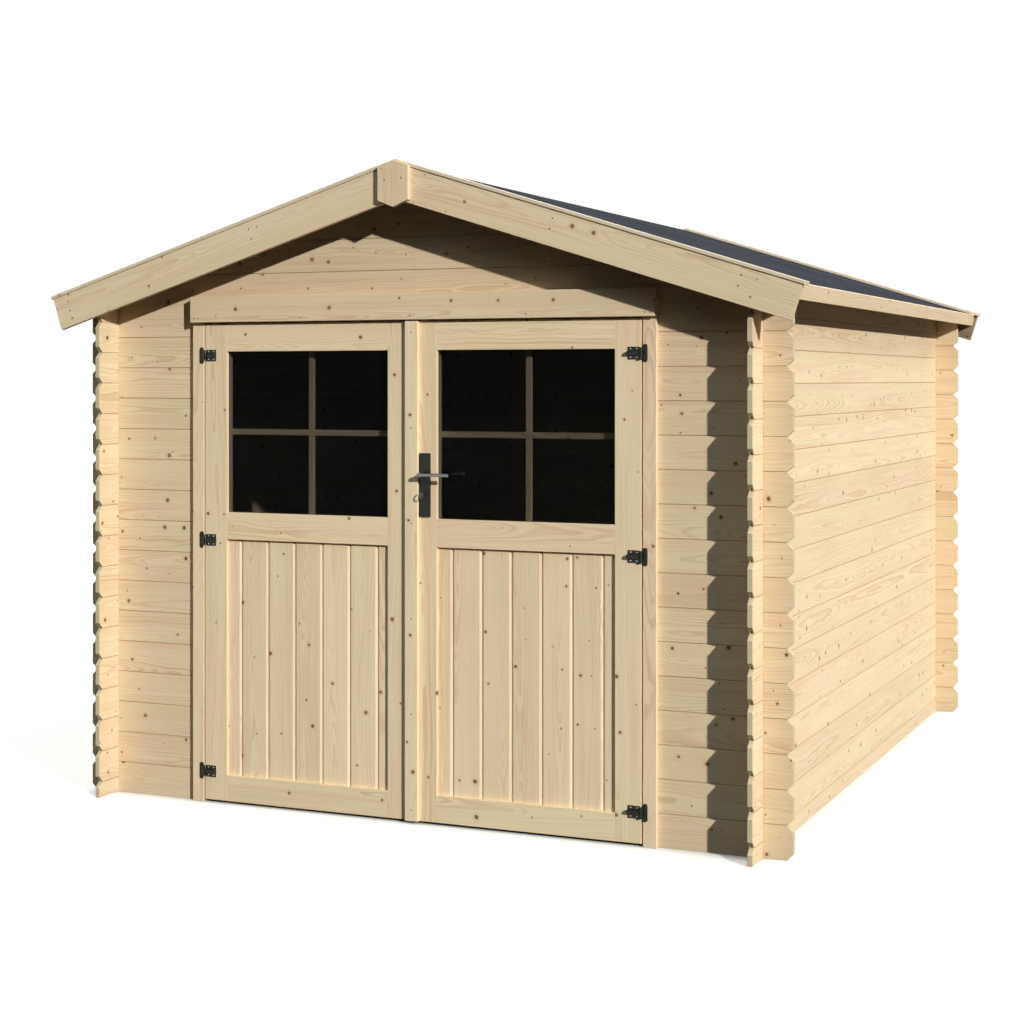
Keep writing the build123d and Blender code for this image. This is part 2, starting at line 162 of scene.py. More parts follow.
class ShedDoorSettings(bpy.types.PropertyGroup):
    """Sizes of the door leaves' boards, bars and glass."""
    first_board: length("First board", "Part board at the left of each panel", 0.0539)
    panel_board: length("Panel board", "Width of one whole panel board", 0.1116)
    joint_width: length("Joint width", "Width of the bevel on each side of a panel joint", 0.0078)
    joint_depth: length("Joint depth", "Depth of the panel joints", 0.0042)
    bar_width: length("Bar width", "Width of the window bars", 0.021)
    bar_thickness: length("Bar thickness", "Thickness of the window bars", 0.012)
    bar_lap: length("Bar lap", "Length of the bars' ends that lie on the back of the frame", 0.02)
    glass: colour("Glass", "Tint of the glass", linear(5, 5, 4))
    dust: colour("Dust", "Streaks of dust on the glass", linear(30, 31, 29))
    glass_dimming: share("Glass dimming", "Share of the light that each face of the glass stops", 0.41)


class ShedMetalSettings(bpy.types.PropertyGroup):
    """Sizes and colours of the ironmongery."""
    nail_radius: length("Nail radius", "Radius of a nail head", 0.0032)
    screw_radius: length("Screw radius", "Radius of a screw head", 0.003)
    nail: colour("Nail", "Sunk nail heads", linear(84, 66, 48))
    black: colour("Black", "Painted hinges and handle plates", linear(26, 28, 20))
    steel: colour("Steel", "Bright lever and key", linear(112, 113, 115))
    screw: colour("Screw", "Dull screw heads", linear(150, 150, 147))


class ShedStageSettings(bpy.types.PropertyGroup):
    """The floor, the light and the camera."""
    floor: colour("Floor", "Pale floor", linear(236, 235, 232))
    floor_bounce: colour("Floor bounce", "The floor as the shed's own light meets it", linear(38, 38, 38))
    floor_glow: strength("Floor glow", "Light added to the floor as it is seen", 0.42)
    key_towards: aim("Key", "Direction from the shed to the key light", (0.767, -0.542, 0.342))
    key_strength: strength("Key strength", "Strength of the key light", 3.4)
    side_towards: aim("Side", "Direction from the shed to the side light", (1.0, 0.3, 1.2))
    side_strength: strength("Side strength", "Strength of the side light", 0.88)
    back_towards: aim("Back", "Direction from the shed to the back light", (-0.55, 0.75, 0.42))
    back_strength: strength("Back strength", "Strength of the back light", 2.0)
    fill_strength: strength("Fill", "Strength of the fill light overhead", 0.72)
    camera_place: FloatVectorProperty(name="Camera", description="Where the camera stands", size=3,
                                      default=(2.928, -7.3951, 1.5524), subtype="TRANSLATION", precision=4)
    camera_turn: FloatProperty(name="Camera turn", description="How far the camera turns to the left",
                               default=0.408, subtype="ANGLE")
    camera_lens: FloatProperty(name="Lens", description="Focal length in millimetres",
                               default=66.01, min=1.0)
    camera_shift: FloatProperty(name="Camera shift", description="Vertical shift of the view",
                                default=-0.1293)


class Graph:
    """Adds and joins the nodes of one material or world."""

    def __init__(self, owner):
        owner.use_nodes = True
        self.tree = owner.node_tree
        self.tree.nodes.clear()

    def feed(self, socket, value):
        """Link a socket, or set its own value."""
        if isinstance(value, bpy.types.NodeSocket):
            self.tree.links.new(value, socket)
        elif hasattr(value, "__len__") and socket.type == "RGBA":
            socket.default_value = (*value, 1.0)
        else:
            socket.default_value = value

    def node(self, kind, inputs, **settings):
        """A new node with its settings and inputs."""
        made = self.tree.nodes.new("ShaderNode" + kind)
        for key, value in settings.items():
            setattr(made, key, value)
        for key, value in inputs.items():
            self.feed(made.inputs[key], value)
        return made

    def calc(self, operation, first, second=0.0):
        """One step of arithmetic."""
        return self.node("Math", {0: first, 1: second}, operation=operation).outputs[0]

    def times(self, first, second):
        """The product of two values."""
        return self.calc("MULTIPLY", first, second)

    def plus(self, first, second):
        """The sum of two values."""
        return self.calc("ADD", first, second)

    def minus(self, first, second):
        """The first value less the second."""
        return self.calc("SUBTRACT", first, second)

    def mix(self, amount, first, second, kind="MIX"):
        """A mix of two colours."""
        made = self.node("Mix", {0: amount, 6: first, 7: second}, data_type="RGBA", blend_type=kind)
        return made.outputs[2]

    def shaded(self, tone, level):
        """A colour made lighter or darker by a level."""
        return self.mix(1.0, tone, self.joined(level, level, level), "MULTIPLY")

    def step(self, value, low, high, start=0.0, end=1.0):
        """A soft step from start to end as the value goes from low to high."""
        inputs = {"Value": value, "From Min": low, "From Max": high, "To Min": start, "To Max": end}
        return self.node("MapRange", inputs, interpolation_type="SMOOTHSTEP").outputs[0]

    def fall(self, value, low, high):
        """A soft step from one down to nothing as the value goes from low to high."""
        return self.step(value, low, high, 1.0, 0.0)

    def noise(self, vector, scale=1.0, detail=2.0, roughness=0.5):
        """Soft noise in space."""
        inputs = {"Vector": vector, "Scale": scale, "Detail": detail, "Roughness": roughness}
        return self.node("TexNoise", inputs).outputs[0]

    def streaks(self, vector, waves, detail=2.0, roughness=0.5):
        """Soft noise with so many waves to the metre along each axis."""
        stretched = self.node("VectorMath", {0: vector, 1: waves}, operation="MULTIPLY").outputs[0]
        return self.noise(stretched, 1.0, detail, roughness)

    def ripple(self, value):
        """Soft noise along one number."""
        inputs = {"W": value, "Scale": 1.0, "Detail": 1.0}
        return self.node("TexNoise", inputs, noise_dimensions="1D").outputs[0]

    def chances(self, seed, spread):
        """Three random shares that belong to a seed."""
        noise = self.node("TexWhiteNoise", {"W": self.times(seed, spread)}, noise_dimensions="1D")
        return self.parts(noise.outputs["Color"])

    def place(self):
        """The place of a point on its own object."""
        return self.node("TexCoord", {}).outputs["Object"]

    def parts(self, vector):
        """The three parts of a vector."""
        return self.node("SeparateXYZ", {0: vector}).outputs

    def joined(self, x, y, z):
        """A vector from its three parts."""
        return self.node("CombineXYZ", {0: x, 1: y, 2: z}).outputs[0]

    def surface(self, base, roughness, height, bump_depth, **constants):
        """The material's surface, with its relief."""
        bump = self.node("Bump", {"Strength": 1.0, "Distance": bump_depth, "Height": height})
        shader = self.node("BsdfPrincipled", {"Base Color": base, "Roughness": roughness,
                                              "Normal": bump.outputs[0]})
        for key, value in constants.items():
            shader.inputs[key.replace("_", " ")].default_value = value
        self.node("OutputMaterial", {"Surface": shader.outputs[0]})


def material_of(name, paint, **choices):
    """The material of that name, painted by its own function when it is first asked for."""
    if name not in bpy.data.materials:
        paint(Graph(bpy.data.materials.new(name)), **choices)
    return bpy.data.materials[name]


def knot_pattern(graph, grain, seed, knot_share):
    """Knots, at most one in each square of a board's face: heart, bark rim, halo, size and darkness."""
    times, plus = graph.times, graph.plus
    cell = bpy.context.scene.shed_timber.knot_cell
    smallest = 0.0019
    growth = 0.0050
    raggedness = 0.0030
    along, across = graph.parts(grain)[:2]
    face = graph.joined(graph.calc("DIVIDE", along, cell),
                        plus(graph.calc("DIVIDE", across, cell), times(seed, 97.0)), 0.0)
    cells = graph.node("TexVoronoi", {"Vector": face, "Scale": 1.0}, voronoi_dimensions="2D")
    chance = graph.parts(cells.outputs["Color"])
    ragged = times(graph.streaks(grain, (90.0, 90.0, 90.0), 1.0), raggedness)
    distance = plus(times(cells.outputs["Distance"], cell), graph.minus(ragged, raggedness / 2))
    size = plus(times(graph.calc("POWER", chance[1], 2.0), growth), smallest)
    nearness = graph.calc("DIVIDE", distance, size)
    present = graph.calc("LESS_THAN", chance[0], knot_share)
    knot = times(graph.fall(nearness, 0.75, 1.15), present)
    rim = times(times(graph.step(nearness, 0.45, 0.95), graph.fall(nearness, 0.95, 1.3)), present)
    halo = times(graph.fall(nearness, 0.8, 3.4), present)
    return knot, rim, halo, size, chance[2]


def ring_pattern(graph, grain, seed, spacing, knot_pull):
    """Late wood lines: rings round a pith that wanders along the board, parted by the knots."""
    times, plus, minus = graph.times, graph.plus, graph.minus
    pith_sway = 0.09
    pith_spread = 0.055
    pith_rise = 0.07
    least_depth = 0.012
    waver_size = 0.010
    along, across, depth = graph.parts(grain)[:3]
    luck = graph.chances(seed, 157.0)
    start = times(seed, 61.0)
    sway = graph.ripple(plus(times(along, 0.6), start))
    rise = graph.ripple(plus(times(along, 0.5), plus(start, 31.0)))
    pith_across = plus(times(minus(luck[0], 0.5), pith_sway), times(minus(sway, 0.5), pith_sway))
    pith_depth = plus(times(luck[1], pith_spread), times(minus(rise, 0.35), pith_rise))
    aside = minus(across, pith_across)
    below = plus(depth, plus(pith_depth, least_depth))
    radius = graph.calc("SQRT", plus(times(aside, aside), times(below, below)))
    spot = graph.joined(times(along, 5.0), times(across, 22.0), plus(times(depth, 22.0), start))
    pulled = plus(radius, plus(times(graph.noise(spot), waver_size), knot_pull))
    count = graph.calc("DIVIDE", pulled, spacing)
    uneven = times(graph.ripple(plus(times(count, 0.45), start)), 2.2)
    turn = graph.calc("FRACT", plus(count, uneven))
    return times(graph.step(turn, 0.35, 0.86), graph.fall(turn, 0.9, 1.0))


def paint_timber(graph, tone, knots, stain=None, stain_share=0.0, ends=False):
    """Planed spruce with rings, knots, pink and straw streaks and fine fibres, or its sawn end grain."""
    times, plus = graph.times, graph.plus
    timber = bpy.context.scene.shed_timber
    spacing = timber.ring_spacing * (0.8 if ends else 1.0)
    ring_depth = 0.6 if ends else 0.5
    least_rough = 0.78 if ends else 0.56
    relief_depth = 0.0006 if ends else 0.0003
    grain = graph.node("Attribute", {}, attribute_name="grain").outputs["Vector"]
    seed = graph.node("Attribute", {}, attribute_name="board").outputs["Fac"]
    luck = graph.chances(seed, 311.0)
    knot, rim, halo, size, darkness = knot_pattern(graph, grain, seed, timber.knot_share * knots)
    late = ring_pattern(graph, grain, seed, spacing, times(halo, times(size, 1.6)))
    clarity = graph.step(graph.streaks(grain, (1.6, 9.0, 9.0), 1.0), 0.3, 0.72, 0.3, 1.0)
    fibre = graph.streaks(grain, (9.0, 520.0, 520.0), 1.0, 0.6)
    streak = graph.streaks(grain, (1.3, 34.0, 34.0))
    patch = graph.streaks(grain, (1.1, 7.0, 7.0), 1.0)

    wood = graph.mix(graph.step(streak, 0.5, 0.68, 0.0, 0.75), timber.wood, timber.blush)
    wood = graph.mix(graph.step(patch, 0.48, 0.7, 0.0, 0.75), wood, timber.straw)
    wood = graph.mix(times(luck[0], 0.4), wood, timber.blush)
    wood = graph.mix(times(luck[1], 0.4), wood, timber.straw)
    wood = graph.mix(times(times(late, clarity), ring_depth), wood, timber.ring)
    if stain is not None:
        wood = graph.mix(stain_share, wood, stain)
    wood = graph.mix(times(halo, 0.28), wood, timber.ring)
    heart = graph.mix(times(darkness, 0.8), timber.knot, timber.knot_rim)
    wood = graph.mix(times(knot, 0.9), wood, heart)
    wood = graph.mix(times(rim, 0.6), wood, timber.knot_rim)
    level = plus(plus(times(luck[2], 0.09), times(fibre, 0.13)), 0.90)
    wood = graph.shaded(wood, times(level, tone))

    rough = graph.minus(plus(times(fibre, 0.16), least_rough), times(knot, 0.15))
    relief = plus(times(streak, 0.45), times(fibre, 0.55))
    graph.surface(wood, rough, relief, relief_depth, Specular_IOR_Level=0.03)


def paint_felt(graph):
    """Bitumen felt with slate grit: speckle, grains and slow patches."""
    times, plus = graph.times, graph.plus
    roof = bpy.context.scene.shed_roof
    place = graph.place()
    grains = graph.node("TexVoronoi", {"Vector": place, "Scale": 620.0})
    chance = graph.parts(grains.outputs["Color"])
    patches = graph.noise(place, 2.2, 3.0, 0.6)
    clumps = graph.noise(place, 38.0, 2.0, 0.6)
    base = graph.mix(times(graph.step(chance[0], 0.55, 1.0), 0.75), roof.felt, roof.grit)
    base = graph.mix(graph.step(chance[1], 0.75, 0.95, 0.0, 0.7), base, roof.soot)
    level = plus(graph.step(patches, 0.3, 0.7, 0.80, 1.0), graph.step(clumps, 0.3, 0.7, -0.08, 0.10))
    height = plus(times(grains.outputs["Distance"], -0.8), times(clumps, 0.4))
    rough = plus(times(chance[2], 0.12), 0.82)
    graph.surface(graph.shaded(base, level), rough, height, 0.0011, Specular_IOR_Level=0.0)


def paint_metal(graph, base, metallic, rough, wear, gloss=0.5):
    """Painted or bright metal with fine brushing, dull patches and worn high spots."""
    times, plus = graph.times, graph.plus
    place = graph.place()
    brushed = graph.streaks(place, (60.0, 900.0, 900.0))
    smudge = graph.noise(place, 55.0, 4.0, 0.65)
    pale = tuple(min(1.0, value * 1.9 + 0.05) for value in base)
    tone = graph.mix(graph.step(smudge, 0.62, 0.8, 0.0, wear), base, pale)
    height = plus(times(brushed, 0.5), times(smudge, 0.5))
    graph.surface(tone, plus(times(smudge, 0.22), rough), height, 0.00012, Metallic=metallic,
                  Specular_IOR_Level=gloss)


def paint_glass(graph):
    """Thin window glass that dims the dark room behind it, with faint wiped streaks of dust."""
    doors = bpy.context.scene.shed_doors
    place = graph.place()
    dust = graph.streaks(place, (14.0, 14.0, 3.5), 5.0, 0.6)
    waves = graph.noise(place, 3.0, 1.0)
    tone = graph.mix(graph.step(dust, 0.52, 0.8, 0.0, 0.5), doors.glass, doors.dust)
    rough = graph.step(dust, 0.45, 0.8, 0.02, 0.08)
    graph.surface(tone, rough, waves, 0.0004, Alpha=doors.glass_dimming, IOR=1.45, Specular_IOR_Level=0.06)


def spruce(name, tone, knots):
    """One finish of the spruce: planed faces, then sawn ends, then the bevels along the seams, darkened with
    painted shade and dust.
    """
    timber = bpy.context.scene.shed_timber
    ends = {"tone": tone * 0.94, "knots": 0.3, "stain": timber.end_grain, "stain_share": 0.62, "ends": True}
    # The seam finish is painted shade with some dust, in the seam colour.
    seams = {"tone": tone, "knots": 0.3, "stain": timber.seam, "stain_share": 0.62}
    return [material_of("spruce_" + name, paint_timber, tone=tone, knots=knots),
            material_of(f"spruce_{name}_ends", paint_timber, **ends),
            material_of(f"spruce_{name}_seams", paint_timber, **seams)]


def wall_timber():
    """Materials of the wall boards."""
    return spruce("wall", 1.0, 1.0)


def trim_timber():
    """Materials of the verge boards, the eave boards, the lintel and the finials."""
    return spruce("trim", 1.01, 1.1)


def door_timber():
    """Materials of the doors and their frame."""
    return spruce("door", 1.12, 0.8)


def roof_timber():
    """Materials of the roof boards and beams, whose low tone is painted shade for the dark under the roof.
    """
    return spruce("roof", 0.4, 1.0)


def cap_timber():
    """Materials of the cap strips, which the weather has greyed on their faces and ends alike."""
    weathered = bpy.context.scene.shed_timber.weathered
    cap = material_of("spruce_cap", paint_timber, tone=1.0, knots=0.4, stain=weathered, stain_share=0.35)
    return [cap, cap]


def roof_felt():
    """The felt of the roof."""
    return [material_of("roof_felt_grit", paint_felt)]


def window_glass():
    """The glass of the windows."""
    return material_of("window_glass_dim", paint_glass)


def black_paint():
    """The black paint of the hinges and handle plates."""
    black = bpy.context.scene.shed_metal.black
    finish = {"metallic": 0.0, "rough": 0.24, "wear": 0.25, "gloss": 0.25}
    return [material_of("black_paint", paint_metal, base=black, **finish)]


def bright_steel():
    """The bright steel of the lever and the key."""
    steel = bpy.context.scene.shed_metal.steel
    return [material_of("bright_steel", paint_metal, base=steel, metallic=1.0, rough=0.14, wear=0.2)]


def screw_steel():
    """The dull steel of the screws."""
    screw = bpy.context.scene.shed_metal.screw
    return [material_of("screw_steel", paint_metal, base=screw, metallic=0.9, rough=0.35, wear=0.2)]


def nail_steel():
    """The dull steel of sunk nail heads."""
    nail = bpy.context.scene.shed_metal.nail
    return [material_of("nail_steel", paint_metal, base=nail, metallic=0.6, rough=0.5, wear=0.3)]


def solid_of(node):
    """A bmesh of one node's solids, with each flat face whole again."""
    solid = bmesh.new()
    solid.from_mesh(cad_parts[node].data)
    bmesh.ops.remove_doubles(solid, verts=solid.verts, dist=1e-5)
    bmesh.ops.dissolve_limit(solid, angle_limit=math.radians(0.5), verts=solid.verts, edges=solid.edges)
    bmesh.ops.recalc_face_normals(solid, faces=solid.faces)
    return solid


def islands(mesh):
    """The loose parts of a bmesh, each as a list of its vertices."""
    waiting = set(mesh.verts)
    found = []
    for start in mesh.verts:
        if start not in waiting:
            continue
        waiting.discard(start)
        part = [start]
        for vertex in part:
            for edge in vertex.link_edges:
                other = edge.other_vert(vertex)
                if other in waiting:
                    waiting.discard(other)
                    part.append(other)
        found.append(part)
    return found


def box_of(vertices):
    """Lowest and highest corner of some vertices."""
    low = Vector([min(vertex.co[axis] for vertex in vertices) for axis in range(3)])
    high = Vector([max(vertex.co[axis] for vertex in vertices) for axis in range(3)])
    return low, high


def solid_boxes(node):
    """The boxes of a node's separate solids, from the lowest to the highest."""
    solid = solid_of(node)
    boxes = [box_of(part) for part in islands(solid)]
    solid.free()
    return sorted(boxes, key=lambda box: box[0].z)


def sliced(solid, direction, places):
    """Closed slices of a solid between planes square to a direction. The ends stay as they are."""
    slices = []
    edges = [None, *places, None]
    for low, high in zip(edges, edges[1:]):
        part = solid.copy()
        for place, outward in ((low, -direction), (high, direction)):
            if place is None:
                continue
            geometry = part.verts[:] + part.edges[:] + part.faces[:]
            bmesh.ops.bisect_plane(part, geom=geometry, dist=1e-6, plane_co=direction * place,
                                   plane_no=outward, clear_outer=True)
            rim = [edge for edge in part.edges if edge.is_boundary]
            bmesh.ops.holes_fill(part, edges=rim, sides=0)
        if part.faces:
            bmesh.ops.recalc_face_normals(part, faces=part.faces)
            slices.append(part)
        else:
            part.free()
    return slices


def butt_jointed(boards, along, place, top):
    """The boards again, with an upright butt joint at a place in those that lie below a height."""
    jointed = []
    for board in boards:
        low, high = box_of(board.verts)
        if (low.z + high.z) / 2 < top:
            jointed += sliced(board, along, [place])
            board.free()
        else:
            jointed.append(board)
    return jointed


def bevel(mesh, edges, width, segments=1):
    """Bevel some edges."""
    if edges:
        bmesh.ops.bevel(mesh, geom=edges, offset=width, offset_type="OFFSET", segments=segments,
                        profile=0.5, affect="EDGES", clamp_overlap=True)


def sharp_edges(mesh, shortest=0.011, angle=math.radians(52)):
    """Outward corners that a plane would take the sharpness off."""
    return [edge for edge in mesh.edges if edge.is_manifold and edge.calc_length() > shortest
            and edge.calc_face_angle_signed(0) > angle]


def seam_edges(mesh, direction, along, seams):
    """Outward corners that run along the board on a seam."""
    shortest = 0.004
    nearly_parallel = 0.999
    nearly_on_seam = 2e-5
    least_angle = 0.5
    found = []
    for edge in mesh.edges:
        run = edge.verts[1].co - edge.verts[0].co
        level = edge.verts[0].co.dot(direction)
        lengthwise = run.length > shortest and abs(run.normalized().dot(along)) > nearly_parallel
        if lengthwise and edge.is_manifold and min(abs(level - seam) for seam in seams) < nearly_on_seam:
            if edge.calc_face_angle_signed(0) > least_angle:
                found.append(edge)
    return found


def mark_seam_shade(mesh, direction, along, seams, width):
    """Give the bevels along the seams the third material, which darkens them with painted shade and dust."""
    for face in mesh.faces:
        level = face.calc_center_median().dot(direction)
        tilted = 0.3 < abs(face.normal.dot(direction)) < 0.95 and abs(face.normal.dot(along)) < 0.3
        if tilted and min(abs(level - seam) for seam in seams) < width:
            face.material_index = 2


def mark_grain(mesh, along, across, lot):
    """Write each board's own grain coordinates and number, and give its sawn ends the second material."""
    grain = mesh.verts.layers.float_vector.new("grain")
    board = mesh.verts.layers.float.new("board")
    inward = along.cross(across)
    for part in islands(mesh):
        centre = sum((vertex.co for vertex in part), Vector()) / len(part)
        start = lot.uniform(0.0, 30.0)
        number = lot.random()
        flip = lot.choice((-1, 1))
        for vertex in part:
            offset = vertex.co - centre
            vertex[grain] = (vertex.co.dot(along) + start, offset.dot(across) * flip,
                             offset.dot(inward) * flip)
            vertex[board] = number
    for face in mesh.faces:
        face.material_index = 1 if abs(face.normal.dot(along)) > 0.6 else 0


def finished_piece(name, parts, body, materials, nodes=(), smooth=None):
    """Join the parts into one object that rides on a body and stands for the nodes given."""
    data = bpy.data.meshes.new(name)
    whole = bmesh.new()
    for part in parts:
        carrier = bpy.data.meshes.new(name + "_part")
        part.to_mesh(carrier)
        part.free()
        whole.from_mesh(carrier)
        bpy.data.meshes.remove(carrier)
    if smooth is not None:
        for face in whole.faces:
            face.smooth = True
        for edge in whole.edges:
            edge.smooth = edge.is_manifold and edge.calc_face_angle(0) < smooth
    whole.to_mesh(data)
    whole.free()
    for material in materials:
        data.materials.append(material)
    piece = bpy.data.objects.new(name, data)
    bpy.context.scene.collection.objects.link(piece)
    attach(piece, body)
    if nodes:
        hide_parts(*nodes)
    return piece


def timber_piece(node, along, across, materials, body="root", slot="planed_trim", direction=None, seams=(),
                 butt_joint=None):
    """Dress one timber node: cut into its boards, bevel seams and edges, and mark the grain."""
    timber = bpy.context.scene.shed_timber
    lot = random.Random(node)
    solid = solid_of(node)
    boards = sliced(solid, direction, seams) if seams else [solid.copy()]
    solid.free()
    if butt_joint:
        boards = butt_jointed(boards, along, *butt_joint)
    for board in boards:
        if seams:
            bevel(board, seam_edges(board, direction, along, seams), timber.seam_bevel)
        bevel(board, sharp_edges(board), timber.edge_bevel)
        mark_grain(board, along, across, lot)
        if seams:
            mark_seam_shade(board, direction, along, seams, timber.seam_bevel)
    name = node + "_boards" if seams else node + "_planed"
    return finished_piece(name, boards, body, materials, [node])


def metal_piece(node, finish, body, slot, materials, edges, width, segments, smooth):
    """Dress one metal node: soften the sharp edges that have the least length and angle given."""
    solid = solid_of(node)
    bevel(solid, sharp_edges(solid, *edges), width, segments)
    return finished_piece(f"{node}_{finish}", [solid], body, materials, [node], smooth)


def fixings(name, heads, body="root", materials=None):
    """Join nail or screw heads into one piece, of nail steel where no other material is given."""
    materials = materials or nail_steel()
    return finished_piece(name, heads, body, materials, smooth=round_smoothing)


def prism(outline, place, start, end):
    """A closed prism: the outline's points as the place function puts them, between two ends."""
    made = bmesh.new()
    low = [made.verts.new(place(a, b, start)) for a, b in outline]
    high = [made.verts.new(place(a, b, end)) for a, b in outline]
    made.faces.new(low)
    made.faces.new(list(reversed(high)))
    for index in range(len(outline)):
        after = (index + 1) % len(outline)
        made.faces.new((low[after], low[index], high[index], high[after]))
    bmesh.ops.recalc_face_normals(made, faces=made.faces)
    return made


def turned(profile, place, outward, sides=16):
    """A round piece turned from a profile of radius and height, standing on a surface."""
    made = bmesh.new()
    spin = outward.to_track_quat("Z", "Y").to_matrix().to_4x4()
    angles = [2 * math.pi * step / sides for step in range(sides)]
    rings = []
    for radius, height in profile:
        if radius == 0:
            rings.append([made.verts.new((0, 0, height))])
        else:
            corners = [(radius * math.cos(angle), radius * math.sin(angle), height) for angle in angles]
            rings.append([made.verts.new(corner) for corner in corners])
    for low, high in zip(rings, rings[1:]):
        for index in range(sides):
            after = (index + 1) % sides
            corners = [low[index % len(low)], low[after % len(low)],
                       high[after % len(high)], high[index % len(high)]]
            made.faces.new(list(dict.fromkeys(corners)))
    if len(rings[0]) > 1:
        made.faces.new(list(reversed(rings[0])))
    bmesh.ops.recalc_face_normals(made, faces=made.faces)
    bmesh.ops.transform(made, matrix=Matrix.Translation(place) @ spin, verts=made.verts)
    return made


def nail_head(place, outward, radius):
    """A flat nail head driven just into the wood."""
    profile = [(radius, -0.0012), (radius, -0.0001), (radius * 0.8, 0.0003), (0, 0.0004)]
    return turned(profile, place, outward, 12)


def screw_head(place, outward, radius):
    """A domed screw head with a sunk middle."""
    foot = -0.0005
    height = radius * 0.42
    profile = [(radius, foot), (radius, height * 0.25), (radius * 0.82, height * 0.7),
               (radius * 0.5, height * 0.95), (radius * 0.34, height), (radius * 0.2, height * 0.35),
               (0, height * 0.3)]
    return turned(profile, place, outward)


def even_places(low, high, gap):
    """Even places from low to high, about a gap apart."""
    count = max(1, round((high - low) / gap))
    return [low + (high - low) * step / count for step in range(count + 1)]


class SHED_OT_walls(bpy.types.Operator):
    """Build the wall boards with their bevelled seams, notched corners and sawn ends"""
    bl_idname = "shed.walls"
    bl_label = "Wall boards"

    def execute(self, context):
        pitch = context.scene.shed_timber.board_pitch
        end_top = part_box("rear_wall")[1].z
        side_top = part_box("right_wall")[1].z
        whole = [pitch * course for course in range(1, math.ceil(end_top / pitch))]
        halved = [pitch * (course + 0.5) for course in range(round(side_top / pitch - 0.5))]
        low = [seam for seam in whole if seam < front_wall_top - pitch / 2]
        high = [seam for seam in whole if seam > front_wall_top + pitch / 2]
        wall = {"materials": wall_timber(), "slot": "wall_boards", "direction": Z, "across": Z}
        for side in ("left", "right"):
            timber_piece("front_wall_" + side, X, seams=low, **wall)
            timber_piece(side + "_wall", Y, seams=halved, **wall)
        butt_joint_top = front_wall_top + 2 * pitch
        timber_piece("front_gable", X, seams=high, butt_joint=(0.0, butt_joint_top), **wall)
        timber_piece("rear_wall", X, seams=whole, **wall)
        return {"FINISHED"}


class SHED_OT_roof_timber(bpy.types.Operator):
    """Build the roof boards, beams, verge boards, caps, eave boards and finials"""
    bl_idname = "shed.roof_timber"
    bl_label = "Roof timber"

    def execute(self, context):
        low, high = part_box("roof_deck_right")
        seams = even_places(low.y, high.y, context.scene.shed_timber.deck_board)[1:-1]
        for side, sign in (("right", 1), ("left", -1)):
            down, up = slope_vectors(sign)
            timber_piece("roof_deck_" + side, down, Y, roof_timber(), slot="roof_timber",
                         direction=Y, seams=seams)
            # The faces of the eave and verge boards that look in under the roof get painted shade.
            self.paint_shaded_back(timber_piece("eave_board_" + side, Y, up, trim_timber()), X * -sign)
            for end, inward in (("front", Y), ("rear", -Y)):
                self.paint_shaded_back(timber_piece(f"{end}_verge_{side}", down, up, trim_timber()), inward)
                timber_piece(f"{end}_verge_cap_{side}", down, Y, cap_timber())
        for node in ("ridge_purlin", "side_purlins"):
            timber_piece(node, Y, Z, roof_timber(), slot="roof_timber")
        for node, inward in (("front_finial", Y), ("rear_finial", -Y)):
            finial = timber_piece(node, Z, X, trim_timber())
            finial.data.transform(Matrix.Translation(inward * nail_room))
        return {"FINISHED"}

    def paint_shaded_back(self, piece, inward):
        """Give the face of a trim board that looks in under the roof the roof boards' darkened finish, as
        painted shade.
        """
        piece.data.materials.append(roof_timber()[0])
        for face in piece.data.polygons:
            if face.normal.dot(inward) > 0.8:
                face.material_index = len(piece.data.materials) - 1


class SHED_OT_felt(bpy.types.Operator):
    """Lay the roof felt in lapped strips, with a ridge strip and rows of clout nails"""
    bl_idname = "shed.felt"
    bl_label = "Roof felt"

    def execute(self, context):
        roof = context.scene.shed_roof
        low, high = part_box("roof_felt_right")
        edges = self.lower_edges(high.x / slope_down.x, roof)
        from_end = 0.08
        from_edge = 0.016
        for side, sign in (("right", 1), ("left", -1)):
            down, up = slope_vectors(sign)

            def put(across, height, y):
                return ridge + down * across + up * height + Y * y

            felt = prism(self.strips(edges, roof), put, low.y, high.y)
            bevel(felt, sharp_edges(felt, 0.001), 0.0006)
            finished_piece("roof_felt_strips_" + side, [felt], "root", roof_felt(),
                           ["roof_felt_" + side])
            nails = [nail_head(put(edge - from_edge, 0.0, y), up, roof.clout_radius) for edge in edges
                     for y in even_places(low.y + from_end, high.y - from_end, roof.nail_gap)]
            fixings("felt_nails_" + side, nails)
        strip = prism(self.ridge_strip(roof), lambda x, z, y: Vector((x, y, z)), low.y, high.y)
        finished_piece("roof_felt_ridge", [strip], "root", roof_felt())
        return {"FINISHED"}

    def lower_edges(self, reach, roof):
        """Lower edges of the strips, from the eave up. A rest under the ridge too narrow to lay is left."""
        narrowest = roof.strip_width * 0.4
        edges = []
        place = reach
        while place > narrowest:
            edges.append(place)
            place -= roof.strip_width
        return edges

    def strips(self, edges, roof):
        """Outline of one slope's felt, where each strip's lower edge laps a layer high over the next."""
        tilt = -slope_down.z / slope_down.x
        thickness = 2 * roof.lap_step
        outline = [(thickness * tilt, -thickness), (edges[0], -thickness)]
        for edge, upper in zip(edges, edges[1:]):
            outline += [(edge, 0.0), (upper, -roof.lap_step)]
        return outline + [(edges[-1], 0.0), (roof.lap_step * tilt, -roof.lap_step)]

    def ridge_strip(self, roof):
        """Outline of the strip that covers the ridge, one layer thick."""
        step = roof.lap_step
        under, over = [ridge + slope_down * roof.ridge_strip + slope_up * height for height in (-step, 0.0)]
        crown = ridge.z + 0.1 * step
        return [(under.x, under.z), (over.x, over.z), (0.0, crown),
                (-over.x, over.z), (-under.x, under.z), (0.0, crown - step)]


